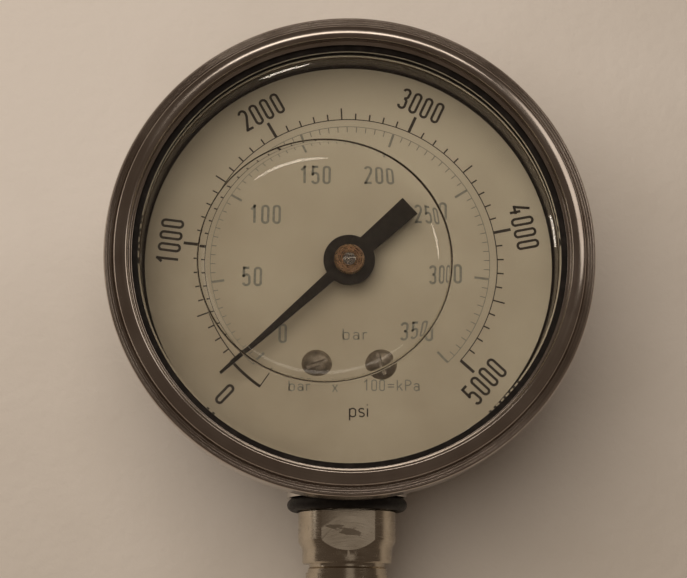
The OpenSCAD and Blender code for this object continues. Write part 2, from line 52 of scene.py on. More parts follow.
def wire(tree, kind, settings=None, **inputs):
    """One node of a tree. An input is a value, or another node's output; a space in its name is _."""
    node = tree.nodes.new(kind)
    for name, value in (settings or {}).items():
        setattr(node, name, value)
    for name, value in inputs.items():
        key = int(name[1:]) if name[1:].isdigit() else name.replace("_", " ")
        if isinstance(value, bpy.types.NodeSocket):
            tree.links.new(value, node.inputs[key])
        else:
            node.inputs[key].default_value = value
    return node


def finish_of(name, colour, rough, metal=0.0, **more):
    """A new material with one Principled shader, and that shader."""
    material = bpy.data.materials.new(name)
    material.use_nodes = True
    shader = material.node_tree.nodes["Principled BSDF"]
    shader.inputs["Base Color"].default_value = (*colour, 1)
    shader.inputs["Roughness"].default_value = rough
    shader.inputs["Metallic"].default_value = metal
    for key, value in more.items():
        shader.inputs[key.replace("_", " ")].default_value = value
    return material, shader


def place_on(tree, shift=(0, 0, 0), turn=(0, 0, 0)):
    """Object coordinates in millimetres, moved and turned so that a turned piece's axis is Z."""
    spot = wire(tree, "ShaderNodeTexCoord").outputs["Object"]
    return wire(tree, "ShaderNodeMapping", Vector=spot, Location=[1000 * s for s in shift],
                Rotation=turn, Scale=(1000, 1000, 1000)).outputs[0]


def rings(tree, spot, fine, drift):
    """Coordinates that change fast across a turned surface and slowly around it."""
    across = wire(tree, "ShaderNodeVectorMath", {"operation": "MULTIPLY"}, _0=spot,
                  _1=(1, 1, 0)).outputs[0]
    around = wire(tree, "ShaderNodeVectorMath", {"operation": "NORMALIZE"}, _0=across).outputs[0]
    radius = wire(tree, "ShaderNodeVectorMath", {"operation": "LENGTH"}, _0=across).outputs["Value"]
    height = wire(tree, "ShaderNodeSeparateXYZ", Vector=spot).outputs[2]
    depth = wire(tree, "ShaderNodeMath", {"operation": "MULTIPLY_ADD"}, _0=height, _1=1.3,
                 _2=radius).outputs[0]
    depth = wire(tree, "ShaderNodeMath", {"operation": "MULTIPLY"}, _0=depth, _1=fine).outputs[0]
    slow = wire(tree, "ShaderNodeVectorMath", {"operation": "SCALE"}, _0=around, Scale=drift).outputs[0]
    return wire(tree, "ShaderNodeVectorMath", {"operation": "ADD"}, _0=slow,
                _1=wire(tree, "ShaderNodeCombineXYZ", Z=depth).outputs[0]).outputs[0]


def mottle(tree, spot, scale, detail=3.0, low=0.3, high=0.7, to_low=0.0, to_high=1.0):
    """Noise stretched between two numbers."""
    noise = wire(tree, "ShaderNodeTexNoise", Vector=spot, Scale=scale, Detail=detail).outputs["Fac"]
    return wire(tree, "ShaderNodeMapRange", Value=noise, From_Min=low, From_Max=high,
                To_Min=to_low, To_Max=to_high).outputs["Result"]


def blend_colours(tree, share, first, second):
    """A colour between two, by a share from 0 to 1."""
    node = wire(tree, "ShaderNodeMix", {"data_type": "RGBA"})
    for key, value in ((0, share), (6, first), (7, second)):
        if isinstance(value, bpy.types.NodeSocket):
            tree.links.new(value, node.inputs[key])
        else:
            node.inputs[key].default_value = value if key == 0 else (*value, 1)
    return node.outputs[2]


def scratches(tree, spot, amount):
    """Thin random scratches in two directions, 1 in a scratch and 0 elsewhere."""
    total = None
    for turn, seed in ((0.5, 3.1), (2.1, 7.7)):
        lines = wire(tree, "ShaderNodeMapping", Vector=spot, Location=(seed, seed, 0),
                     Rotation=(0.3, 0.2, turn), Scale=(0.12, 2.6, 0.4)).outputs[0]
        noise = wire(tree, "ShaderNodeTexNoise", Vector=lines, Scale=1.6, Detail=4).outputs["Fac"]
        line = wire(tree, "ShaderNodeMapRange", Value=noise, From_Min=0.64 - amount,
                    From_Max=0.67 - amount).outputs[0]
        total = line if total is None else wire(
            tree, "ShaderNodeMath", {"operation": "MAXIMUM"}, _0=total, _1=line).outputs[0]
    return total


def raise_from(tree, shader, height, size):
    """Bump from a height, where size is the relief in metres."""
    bump = wire(tree, "ShaderNodeBump", Height=height, Strength=1.0, Distance=size)
    tree.links.new(bump.outputs[0], shader.inputs["Normal"])


def turned_metal(name, colour, dark, rough, shift=(0, 0, 0), turn=(0, 0, 0), fine=9.0, wear=0.02,
                 relief=4e-6):
    """Metal with tool lines round its axis, cloudy patches and thin scratches."""
    material, shader = finish_of(name, colour, rough, metal=1.0)
    tree = material.node_tree
    spot = place_on(tree, shift, turn)
    lines = wire(tree, "ShaderNodeTexNoise", Vector=rings(tree, spot, fine, 2.2), Scale=1.0,
                 Detail=5).outputs["Fac"]
    clouds = mottle(tree, spot, 0.16, 4)
    worn = scratches(tree, spot, wear)
    shade = wire(tree, "ShaderNodeMath", {"operation": "MULTIPLY_ADD"}, _0=lines, _1=0.7,
                 _2=clouds).outputs[0]
    shade = wire(tree, "ShaderNodeMapRange", Value=shade, From_Min=0.2, From_Max=1.5).outputs[0]
    tree.links.new(blend_colours(tree, shade, dark, colour), shader.inputs["Base Color"])
    gloss = wire(tree, "ShaderNodeMapRange", Value=lines, From_Min=0.3, From_Max=0.7,
                 To_Min=rough * 0.7, To_Max=rough * 1.5).outputs[0]
    gloss = wire(tree, "ShaderNodeMath", {"operation": "MULTIPLY_ADD"}, _0=worn, _1=0.22, _2=gloss).outputs[0]
    tree.links.new(gloss, shader.inputs["Roughness"])
    height = wire(tree, "ShaderNodeMath", {"operation": "SUBTRACT"}, _0=lines, _1=worn).outputs[0]
    raise_from(tree, shader, height, relief)
    return material


def give(piece, material):
    """Puts one material on a piece or a CAD node."""
    piece.data.materials.clear()
    piece.data.materials.append(material)
    piece.data.polygons.foreach_set("material_index", [0] * len(piece.data.polygons))


INSIDE_R = 29.7  # radius of the cup's inside, in millimetres
BACK_SHEET = 0.4  # up to this height the sheet is seen from outside
INSIDE_PAINTED_SHADE = (0.085, 0.062, 0.050)  # the inside wall, painted dark as shade in the deep cup
case_steel = turned_metal("case_steel", (0.60, 0.565, 0.52), (0.46, 0.43, 0.39), 0.24)
case_tree = case_steel.node_tree
case_shader = case_tree.nodes["Principled BSDF"]
polished = case_shader.inputs["Base Color"].links[0].from_socket
case_spot = place_on(case_tree)
from_axis = wire(case_tree, "ShaderNodeVectorMath", {"operation": "MULTIPLY"}, _0=case_spot,
                 _1=(1, 1, 0)).outputs[0]
from_axis = wire(case_tree, "ShaderNodeVectorMath", {"operation": "LENGTH"}, _0=from_axis).outputs["Value"]
above_back = wire(case_tree, "ShaderNodeSeparateXYZ", Vector=case_spot).outputs[2]
# Inside the cup's radius the colour turns to painted shade, so the deep inner wall is drawn near black.
outside = wire(case_tree, "ShaderNodeMapRange", Value=from_axis, From_Min=INSIDE_R,
               From_Max=INSIDE_R + 0.2).outputs[0]
on_back = wire(case_tree, "ShaderNodeMapRange", Value=above_back, From_Min=BACK_SHEET + 0.2,
               From_Max=BACK_SHEET).outputs[0]
outside = wire(case_tree, "ShaderNodeMath", {"operation": "MAXIMUM"}, _0=outside, _1=on_back).outputs[0]
case_tree.links.new(blend_colours(case_tree, outside, INSIDE_PAINTED_SHADE, polished),
                    case_shader.inputs["Base Color"])
give(nodes["case"], case_steel)


# ---- Stem and socket ----
# One turned bar of nickel-plated brass: a block in the case, a wrench body with two milled flats,
# a taper, a pilot and a pipe thread with a centring spigot. It is screwed to the case from behind.

STEM_HEIGHT = 12.5  # of its axis above the back, in millimetres
STEM_SHIFT, STEM_TURN = (0, 0.0125, 0), (math.pi / 2, 0, 0)  # lays a finish round the stem's axis
onto_stem = Matrix.Translation((0, 0, STEM_HEIGHT / 1000)) @ Matrix.Rotation(math.pi / 2, 4, "X")


def new_piece(name, verts, faces, edges=()):
    """An object from points in millimetres."""
    mesh = bpy.data.meshes.new(name)
    mesh.from_pydata([[c / 1000 for c in v] for v in verts], edges, faces)
    piece = bpy.data.objects.new(name, mesh)
    bpy.context.scene.collection.objects.link(piece)
    return piece


def smooth_sides(piece, angle=32):
    """Smooth shading with crisp edges where two faces meet at more than an angle, and flats kept flat."""
    piece.data.shade_smooth()
    piece.data.set_sharp_from_angle(angle=math.radians(angle))
    change = piece.modifiers.new("flats", "WEIGHTED_NORMAL")
    change.keep_sharp, change.weight = True, 80
    bake_modifiers(piece)


def turned(name, outline, steps=240):
    """A solid of revolution about Z from a closed outline of (radius, height) in millimetres."""
    area = sum(a[0] * b[1] - b[0] * a[1] for a, b in zip(outline, outline[1:] + outline[:1]))
    outline = outline if area > 0 else outline[::-1]
    verts, rows = [], []
    for radius, height in outline:
        if radius < 1e-6:
            rows.append([len(verts)] * steps)
            verts.append((0, 0, height))
            continue
        rows.append(list(range(len(verts), len(verts) + steps)))
        verts += [(radius * math.cos(2 * math.pi * k / steps), radius * math.sin(2 * math.pi * k / steps),
                   height) for k in range(steps)]
    faces = []
    for a, b in zip(rows, rows[1:] + rows[:1]):
        for k in range(steps):
            n = (k + 1) % steps
            face = list(dict.fromkeys((a[k], a[n], b[n], b[k])))
            if len(face) > 2:
                faces.append(face)
    return new_piece(name, verts, faces)


def bow(x, y, radius, start, end, steps=8, squash=1.0):
    """Points of an arc, in degrees."""
    return [(x + radius * math.cos(math.radians(start + (end - start) * k / steps)),
             y + squash * radius * math.sin(math.radians(start + (end - start) * k / steps)))
            for k in range(steps + 1)]


def carve(piece, cutter, mode="DIFFERENCE"):
    """Applies one boolean and removes the cutter."""
    change = piece.modifiers.new("carve", "BOOLEAN")
    change.operation, change.object, change.solver = mode, cutter, "EXACT"
    bake_modifiers(piece)
    bpy.data.objects.remove(cutter)


def bake_modifiers(piece):
    """Keeps what the modifiers make as the piece's own mesh, and takes them off."""
    bpy.context.view_layer.update()
    graph = bpy.context.evaluated_depsgraph_get()
    mesh = bpy.data.meshes.new_from_object(piece.evaluated_get(graph), depsgraph=graph)
    piece.modifiers.clear()
    piece.data = mesh
    mesh.name = piece.name


def bevel(piece, width, angle=30):
    """Breaks the sharp edges, as deburring does; width is in millimetres."""
    change = piece.modifiers.new("bevel", "BEVEL")
    change.width, change.segments, change.angle_limit = width / 1000, 2, math.radians(angle)
    change.limit_method, change.use_clamp_overlap, change.harden_normals = "ANGLE", True, False
    bake_modifiers(piece)


def block(name, low, high):
    """A box between two corners in millimetres."""
    verts = [(x, y, z) for x in (low[0], high[0]) for y in (low[1], high[1]) for z in (low[2], high[2])]
    faces = [(0, 1, 3, 2), (4, 6, 7, 5), (0, 4, 5, 1), (2, 3, 7, 6), (0, 2, 6, 4), (1, 5, 7, 3)]
    return new_piece(name, verts, faces)


THREAD_PITCH = 1.337
THREAD_ROOT = 5.72  # radius at the foot of the thread
THREAD_FROM, THREAD_TO = 43.0, 55.0  # its two ends, measured down the stem from the case's axis
RUN_IN, RUN_OUT = 0.65, 0.7  # plain length left at each end of the thread
BORE_R, NECK_R, BODY_R, PILOT_R, RELIEF_R, SPIGOT_R = 1.5, 6.8, 7.1, 6.5, 5.5, 2.75
TIP = 57.5  # end of the spigot, from the case's axis
stem = turned("stem", [(BORE_R, 30), (NECK_R, 30), (NECK_R, 35.05)] + bow(6.95, 35.2, 0.15, 270, 360, 3)
              + [(BODY_R, 39.2), (7.08, 39.36), (6.52, 40.44), (PILOT_R, 40.6), (PILOT_R, 42.3), (6.35, 42.5),
                 (RELIEF_R, 42.5), (RELIEF_R, THREAD_FROM), (THREAD_ROOT, THREAD_FROM + 0.25),
                 (THREAD_ROOT, THREAD_TO - 0.9), (THREAD_ROOT - 0.7, THREAD_TO), (SPIGOT_R, THREAD_TO),
                 (SPIGOT_R, TIP - 0.3), (SPIGOT_R - 0.3, TIP), (BORE_R + 0.3, TIP), (BORE_R, TIP - 0.3)], 192)
stem.data.transform(onto_stem)
MILL_R, MILL_DEEP = 5.56, 5  # the cutter's radius, and half of its length
FLAT_HALF = 6  # half the width across the flats
FLAT_DOWN = 35.24  # distance of the cutter's centre from the case's axis
for side in (-1, 1):
    middle = side * (FLAT_HALF + MILL_DEEP)
    mill = turned("mill", [(0, -MILL_DEEP), (MILL_R, -MILL_DEEP), (MILL_R, MILL_DEEP), (0, MILL_DEEP)], 128)
    mill.data.transform(Matrix.Translation((0, -FLAT_DOWN / 1000, (STEM_HEIGHT + middle) / 1000)))
    slot_cut = block("slot_cut", (-MILL_R, -FLAT_DOWN, STEM_HEIGHT + middle - MILL_DEEP),
                     (MILL_R, -35.0, STEM_HEIGHT + middle + MILL_DEEP))
    carve(stem, mill)
    carve(stem, slot_cut)
bevel(stem, 0.07, 28)
smooth_sides(stem, 24)


def new_tree(name, **sizes):
    """An empty geometry tree with a mesh input and named inputs for its sizes."""
    tree = bpy.data.node_groups.new(name, "GeometryNodeTree")
    tree.interface.new_socket("Geometry", in_out="INPUT", socket_type="NodeSocketGeometry")
    kinds = {int: "NodeSocketInt", float: "NodeSocketFloat"}
    for key, value in sizes.items():
        kind = kinds.get(type(value), "NodeSocketMaterial" if key == "Material" else "NodeSocketObject")
        socket = tree.interface.new_socket(key.replace("_", " "), in_out="INPUT", socket_type=kind)
        if value is not None:
            socket.default_value = value
    tree.interface.new_socket("Geometry", in_out="OUTPUT", socket_type="NodeSocketGeometry")
    return tree, tree.nodes.new("NodeGroupInput")


def end_tree(tree, shape, material):
    """Realize Instances and Set Material, then the way out."""
    real = wire(tree, "GeometryNodeRealizeInstances", Geometry=shape).outputs[0]
    done = wire(tree, "GeometryNodeSetMaterial", Geometry=real, Material=material).outputs[0]
    tree.links.new(done, tree.nodes.new("NodeGroupOutput").inputs[0])


def grow(piece, tree, **sizes):
    """Runs a geometry tree on a piece and keeps the result as a plain mesh."""
    change = piece.modifiers.new(tree.name, "NODES")
    change.node_group = tree
    for socket in tree.interface.items_tree:
        if socket.item_type == "SOCKET" and socket.in_out == "INPUT":
            key = socket.name.replace(" ", "_")
            if key in sizes:
                change[socket.identifier] = sizes[key]
    bake_modifiers(piece)
    give(piece, sizes["Material"])
    return piece


def node_math(tree, operation, *values):
    """A Math node's result."""
    return wire(tree, "ShaderNodeMath", {"operation": operation},
                **{f"_{k}": v for k, v in enumerate(values)}).outputs[0]


thread_tree, way_in = new_tree("cut_thread", Root=0.005, Pitch=0.001, Turns=8.0, Material=None)
coil = wire(thread_tree, "GeometryNodeCurveSpiral", Resolution=96, Rotations=way_in.outputs["Turns"],
            Start_Radius=way_in.outputs["Root"], End_Radius=way_in.outputs["Root"],
            Height=node_math(thread_tree, "MULTIPLY", way_in.outputs["Turns"],
                             way_in.outputs["Pitch"])).outputs[0]
along = wire(thread_tree, "GeometryNodeSplineParameter").outputs["Factor"]
near_end = node_math(thread_tree, "MINIMUM", along, node_math(thread_tree, "SUBTRACT", 1.0, along))
fade = node_math(thread_tree, "MINIMUM", node_math(thread_tree, "MULTIPLY_ADD", near_end, 22.0, 0.02), 1.0)
coil = wire(thread_tree, "GeometryNodeSetCurveNormal", {"mode": "Z_UP"}, Curve=coil).outputs[0]
RIDGE_FOOT, RIDGE_CREST = -0.00025, 0.00085  # metres from the root, the foot sunk into it
FOOT_HALF, CREST_HALF = 0.00060, 0.00011
ridge = wire(thread_tree, "GeometryNodeCurvePrimitiveQuadrilateral", {"mode": "POINTS"},
             Point_1=(RIDGE_FOOT, -FOOT_HALF, 0), Point_2=(RIDGE_CREST, -CREST_HALF, 0),
             Point_3=(RIDGE_CREST, CREST_HALF, 0), Point_4=(RIDGE_FOOT, FOOT_HALF, 0)).outputs[0]
swept = wire(thread_tree, "GeometryNodeCurveToMesh", Curve=coil, Profile_Curve=ridge, Scale=fade,
             Fill_Caps=True).outputs[0]
end_tree(thread_tree, swept, way_in.outputs["Material"])

socket_plate = turned_metal("socket_plate", (0.64, 0.58, 0.48), (0.42, 0.36, 0.28), 0.2, STEM_SHIFT,
                            STEM_TURN, fine=7.0, wear=-0.03, relief=1.5e-6)
give(stem, socket_plate)
thread = new_piece("thread", [(0, 0, 0)], [])
thread_turns = (THREAD_TO - THREAD_FROM - RUN_IN - RUN_OUT) / THREAD_PITCH
grow(thread, thread_tree, Root=THREAD_ROOT / 1000, Pitch=THREAD_PITCH / 1000, Turns=thread_turns,
     Material=socket_plate)
thread.data.transform(onto_stem @ Matrix.Translation((0, 0, (THREAD_FROM + RUN_IN) / 1000)))
smooth_sides(thread, 20)
DIAL_SCREWS = [(-4.6, -15), (4.6, -15)]  # their places on the dial, in millimetres
POST_R, POST_TOP = 1.9, 19.5  # the two posts that the dial rests on
body_block = block("socket_block", (-7.5, -26.2, 0.8), (7.5, -12.8, 18))
carve(body_block, block("ledge", (-8, -15.8, 2), (8, -7.6, 7)), "UNION")
for across, up in DIAL_SCREWS:
    post = turned("post", [(0, 17), (POST_R, 17), (POST_R, POST_TOP), (0, POST_TOP)], 48)
    post.data.transform(Matrix.Translation((across / 1000, up / 1000, 0)))
    carve(body_block, post, "UNION")
bevel(body_block, 0.2)
smooth_sides(body_block, 25)
give(body_block, socket_plate)
for piece in (stem, thread, body_block):
    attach(piece, "housing")
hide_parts("socket")


# ---- Restrictor, collar, seal, plug and back screws ----
# A brass screw with a fine bore damps the inlet; a pressed steel collar backs a rubber ring on the neck.
# A rubber plug closes the filling hole on top, and two countersunk screws hold the socket.

def rubber(name, shade, dust):
    """Moulded black rubber with a little dust on it."""
    material, shader = finish_of(name, (shade, shade, shade), 0.5, Specular_IOR_Level=0.25)
    tree = material.node_tree
    spot = place_on(tree)
    grey = mottle(tree, spot, 0.9, 5, 0.45, 0.75, 0.0, dust)
    tree.links.new(blend_colours(tree, grey, (shade * 1.1, shade * 0.9, shade * 0.8), (0.22, 0.18, 0.15)),
                   shader.inputs["Base Color"])
    tree.links.new(mottle(tree, spot, 2.2, 3, 0.3, 0.7, 0.38, 0.62), shader.inputs["Roughness"])
    raise_from(tree, shader, mottle(tree, spot, 5.0, 4), 8e-6)
    return material


black_rubber = rubber("black_rubber", 0.009, 0.06)
for name in ("window_gasket", "stem_oring", "fill_plug"):
    give(nodes[name], black_rubber)
collar_steel = turned_metal("collar_steel", (0.72, 0.69, 0.65), (0.55, 0.52, 0.48), 0.16, STEM_SHIFT,
                            STEM_TURN, fine=5.0, wear=0.0, relief=2e-6)
give(nodes["neck_collar"], collar_steel)
worked_brass = turned_metal("worked_brass", (0.74, 0.52, 0.26), (0.50, 0.33, 0.15), 0.24, fine=6.0, wear=0.0)
for name in ("restrictor_screw", "hairspring_collet", "hairspring_stud", "tube_end_cap", "movement_pillars"):
    give(nodes[name], worked_brass)


# ---- Screws ----
# Small slotted machine screws of plated steel: two round heads hold the dial to the socket,
# the others hold the movement, its pillars and the link.

screw_plate, screw_shader = finish_of("screw_plate", (0.40, 0.35, 0.30), 0.42, metal=0.9)
screw_tree = screw_plate.node_tree
screw_spot = place_on(screw_tree)
screw_tree.links.new(blend_colours(screw_tree, mottle(screw_tree, screw_spot, 1.1, 4), (0.27, 0.235, 0.195),
                                   (0.50, 0.44, 0.37)), screw_shader.inputs["Base Color"])
screw_tree.links.new(mottle(screw_tree, screw_spot, 3.0, 4, 0.3, 0.7, 0.36, 0.55),
                     screw_shader.inputs["Roughness"])
raise_from(screw_tree, screw_shader, mottle(screw_tree, screw_spot, 4.0, 4), 2e-6)
for name in ("movement_screws", "pillar_screws", "sector_link_screw", "tube_link_screw", "back_screws"):
    give(nodes[name], screw_plate)

screws_tree, way_in = new_tree("slotted_screws", Screw=None, First_Turn=0.3, Turn_Step=1.1, Material=None)
one_screw = wire(screws_tree, "GeometryNodeObjectInfo", Object=way_in.outputs["Screw"]).outputs["Geometry"]
screw_turn = node_math(screws_tree, "MULTIPLY_ADD", wire(screws_tree, "GeometryNodeInputIndex").outputs[0],
                       way_in.outputs["Turn Step"], way_in.outputs["First Turn"])
set_screws = wire(screws_tree, "GeometryNodeInstanceOnPoints", Points=way_in.outputs["Geometry"],
                  Instance=one_screw,
                  Rotation=wire(screws_tree, "ShaderNodeCombineXYZ", Z=screw_turn).outputs[0]).outputs[0]
end_tree(screws_tree, set_screws, way_in.outputs["Material"])

SHANK_R, SHANK_END = 1.0, -3.4
CROWN_R, CROWN_CENTRE = 2.75, -1.65  # the head is the cap of a ball, 4.4 mm wide and 1.1 mm high
SLOT_HALF, SLOT_FLOOR = 0.25, 0.6
round_head = turned("round_head", [(0, SHANK_END), (SHANK_R - 0.2, SHANK_END), (SHANK_R, SHANK_END + 0.2),
                                   (SHANK_R, 0)] + bow(0, CROWN_CENTRE, CROWN_R, 36.87, 90, 12), 64)
carve(round_head, block("slot", (-3, -SLOT_HALF, SLOT_FLOOR), (3, SLOT_HALF, 2)))
bevel(round_head, 0.05, 35)
smooth_sides(round_head, 28)
DIAL_TOP = 20.0
dial_screws = new_piece("dial_screw_pair", [(*spot, DIAL_TOP) for spot in DIAL_SCREWS], [])
grow(dial_screws, screws_tree, Screw=round_head, First_Turn=0.42, Turn_Step=1.45, Material=screw_plate)
bpy.data.objects.remove(round_head)
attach(dial_screws, "housing")
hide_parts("dial_screws")


# ---- Movement ----
# Two brass plates on three pillars carry a toothed sector and the pointer's pinion; a bronze hairspring
# takes up the play, and a small link joins the sector to the end of the tube.

plate_brass, plate_shader = finish_of("plate_brass", (0.76, 0.56, 0.28), 0.3, metal=1.0)
plate_tree = plate_brass.node_tree
brushed = wire(plate_tree, "ShaderNodeMapping", Vector=place_on(plate_tree), Scale=(0.5, 14, 6)).outputs[0]
grain = mottle(plate_tree, brushed, 1.0, 4)
plate_tree.links.new(blend_colours(plate_tree, grain, (0.58, 0.40, 0.18), (0.80, 0.60, 0.32)),
                     plate_shader.inputs["Base Color"])
plate_tree.links.new(mottle(plate_tree, brushed, 1.0, 4, 0.3, 0.7, 0.22, 0.42),
                     plate_shader.inputs["Roughness"])
raise_from(plate_tree, plate_shader, grain, 4e-6)
for name in ("movement_bottom_plate", "movement_top_plate", "sector_gear", "link"):
    give(nodes[name], plate_brass)
arbor_steel = turned_metal("arbor_steel", (0.62, 0.60, 0.58), (0.45, 0.43, 0.41), 0.15, fine=8.0, wear=0.0)
for name in ("pinion_arbor", "sector_arbor"):
    give(nodes[name], arbor_steel)
spring_bronze = turned_metal("spring_bronze", (0.70, 0.44, 0.22), (0.52, 0.30, 0.14), 0.2, fine=3.0,
                             wear=0.0)
give(nodes["hairspring"], spring_bronze)


# ---- Bourdon tube ----
# A flattened bronze tube bent to three quarters of a circle. Its root is soldered into the socket,
# and its free end springs outwards under pressure and pulls the link.

tube_tree, way_in = new_tree("bent_tube", Radius=0.0225, Start=0.03, Sweep=4.3, Width=0.0036, Height=0.008,
                             Material=None)
bend = wire(tube_tree, "GeometryNodeCurveArc", {"mode": "RADIUS"}, Resolution=120,
            Radius=way_in.outputs["Radius"], Start_Angle=way_in.outputs["Start"],
            Sweep_Angle=way_in.outputs["Sweep"]).outputs[0]
bend = wire(tube_tree, "GeometryNodeSetCurveNormal", {"mode": "Z_UP"}, Curve=bend).outputs[0]
flat_oval = wire(tube_tree, "GeometryNodeCurvePrimitiveCircle", {"mode": "RADIUS"}, Resolution=40,
                 Radius=0.5).outputs[0]
flat_oval = wire(tube_tree, "GeometryNodeTransform", Geometry=flat_oval, Scale=wire(
    tube_tree, "ShaderNodeCombineXYZ", X=way_in.outputs["Width"], Y=way_in.outputs["Height"],
    Z=1.0).outputs[0]).outputs[0]
end_tree(tube_tree, wire(tube_tree, "GeometryNodeCurveToMesh", Curve=bend, Profile_Curve=flat_oval,
                         Fill_Caps=True).outputs[0], way_in.outputs["Material"])
tube_bronze = turned_metal("tube_bronze", (0.66, 0.42, 0.22), (0.46, 0.27, 0.13), 0.28, fine=2.2, wear=0.02)
give(nodes["bourdon_tube"], tube_bronze)
TUBE_FROM, TUBE_SWEEP = 2, 249  # degrees
tube = new_piece("coiled_tube", [(0, 0, 0)], [])
grow(tube, tube_tree, Start=math.radians(TUBE_FROM), Sweep=math.radians(TUBE_SWEEP), Material=tube_bronze)
tube.data.transform(Matrix.Translation((0, 0, STEM_HEIGHT / 1000)))
smooth_sides(tube)
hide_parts("bourdon_tube")
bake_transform(tube)


# ---- Dial ----
# A thin aluminium disc with baked cream enamel, on two screws. The pressure scale is printed in black,
# and a second scale inside it in grey.

enamel, enamel_shader = finish_of("dial_enamel", (0.46, 0.42, 0.33), 0.45)
enamel_tree = enamel.node_tree
enamel_spot = place_on(enamel_tree)
# The enamel is painted darker towards the lower left, as shade on the dial, with a random mottle added.
up_the_dial = wire(enamel_tree, "ShaderNodeVectorMath", {"operation": "DOT_PRODUCT"}, _0=enamel_spot,
                   _1=(0.55, 0.83, 0)).outputs["Value"]
painted_shade_and_mottle = wire(enamel_tree, "ShaderNodeMapRange", Value=up_the_dial, From_Min=-28, From_Max=24,
                 To_Min=-0.45, To_Max=0.55).outputs[0]
painted_shade_and_mottle = node_math(enamel_tree, "ADD", painted_shade_and_mottle,
                      mottle(enamel_tree, enamel_spot, 0.07, 4, 0.3, 0.7, 0.2, 0.8))
enamel_tree.links.new(blend_colours(enamel_tree, painted_shade_and_mottle, (0.315, 0.275, 0.21), (0.445, 0.405, 0.322)),
                      enamel_shader.inputs["Base Color"])
enamel_tree.links.new(mottle(enamel_tree, enamel_spot, 0.8, 4, 0.3, 0.7, 0.38, 0.55),
                      enamel_shader.inputs["Roughness"])
raise_from(enamel_tree, enamel_shader, mottle(enamel_tree, enamel_spot, 3.0, 3), 3e-6)
give(nodes["dial"], enamel)


def ink(name, dark, light):
    """Printing ink, a little uneven where it is thin."""
    material, shader = finish_of(name, dark, 0.5)
    tree = material.node_tree
    spot = place_on(tree)
    tree.links.new(blend_colours(tree, mottle(tree, spot, 1.8, 4, 0.35, 0.75), dark, light),
                   shader.inputs["Base Color"])
    tree.links.new(mottle(tree, spot, 3.0, 3, 0.3, 0.7, 0.42, 0.6), shader.inputs["Roughness"])
    return material


black_ink = ink("black_ink", (0.010, 0.007, 0.005), (0.035, 0.026, 0.02))
grey_ink = ink("grey_ink", (0.15, 0.15, 0.13), (0.22, 0.215, 0.18))

ZERO = 227.8  # direction of the zero mark, in degrees
SPAN = 270.0  # angle of the full scale
FULL_SCALE = 5000  # psi
BAR = 14.5038  # psi in one bar
PSI_R, BAR_R = 21.4, 20.3  # radii of the two scales, in millimetres
INK = 0.02  # thickness of the print, in millimetres
FACE = DIAL_TOP + INK / 2

marks_tree, way_in = new_tree(
    "scale_marks", Count=10, First=0, Every_Medium=5, Every_Long=10, Zero_Angle=0.0, Step=0.1, Radius=0.02,
    Short=0.001, Medium=0.0015, Long=0.002, Thin=0.0002, Thick=0.0004, Ink=0.00002, Face=0.02, Material=None)
number = node_math(marks_tree, "ADD", wire(marks_tree, "GeometryNodeInputIndex").outputs[0],
                   way_in.outputs["First"])
mark_angle = node_math(marks_tree, "MULTIPLY_ADD", number, way_in.outputs["Step"],
                       way_in.outputs["Zero Angle"])


def every(name):
    """1 on each mark whose number is a multiple of an input."""
    rest = node_math(marks_tree, "MODULO", number, way_in.outputs[name])
    return node_math(marks_tree, "COMPARE", rest, 0.0, 0.1)


def pick(share, low, high):
    """The low value where share is 0, and the high one where it is 1."""
    return wire(marks_tree, "ShaderNodeMix", {"data_type": "FLOAT"}, _0=share, _2=low, _3=high).outputs[0]


mark_length = pick(every("Every Long"), pick(every("Every Medium"), way_in.outputs["Short"],
                                             way_in.outputs["Medium"]), way_in.outputs["Long"])
mark_width = pick(every("Every Long"), way_in.outputs["Thin"], way_in.outputs["Thick"])
mark_spot = wire(marks_tree, "ShaderNodeCombineXYZ",
                 X=node_math(marks_tree, "MULTIPLY", node_math(marks_tree, "COSINE", mark_angle),
                             way_in.outputs["Radius"]),
                 Y=node_math(marks_tree, "MULTIPLY", node_math(marks_tree, "SINE", mark_angle),
                             way_in.outputs["Radius"]), Z=way_in.outputs["Face"]).outputs[0]
dots = wire(marks_tree, "GeometryNodePoints", Count=way_in.outputs["Count"], Position=mark_spot).outputs[0]
dash = wire(marks_tree, "GeometryNodeTransform",
            Geometry=wire(marks_tree, "GeometryNodeMeshCube", Size=(1, 1, 1)).outputs[0],
            Translation=(0.5, 0, 0)).outputs[0]
marks = wire(marks_tree, "GeometryNodeInstanceOnPoints", Points=dots, Instance=dash,
             Rotation=wire(marks_tree, "ShaderNodeCombineXYZ", Z=mark_angle).outputs[0],
             Scale=wire(marks_tree, "ShaderNodeCombineXYZ", X=mark_length, Y=mark_width,
                        Z=way_in.outputs["Ink"]).outputs[0]).outputs[0]
end_tree(marks_tree, marks, way_in.outputs["Material"])

stroke_tree, way_in = new_tree("printed_strokes", Width=0.0003, Ink=0.00002, Material=None)
strokes = wire(stroke_tree, "GeometryNodeMeshToCurve", Mesh=way_in.outputs["Geometry"]).outputs[0]
strokes = wire(stroke_tree, "GeometryNodeSetCurveNormal", {"mode": "Z_UP"}, Curve=strokes).outputs[0]
nib = wire(stroke_tree, "GeometryNodeCurvePrimitiveQuadrilateral", Width=way_in.outputs["Width"],
           Height=way_in.outputs["Ink"]).outputs[0]
end_tree(stroke_tree, wire(stroke_tree, "GeometryNodeCurveToMesh", Curve=strokes, Profile_Curve=nib,
                           Fill_Caps=True).outputs[0], way_in.outputs["Material"])

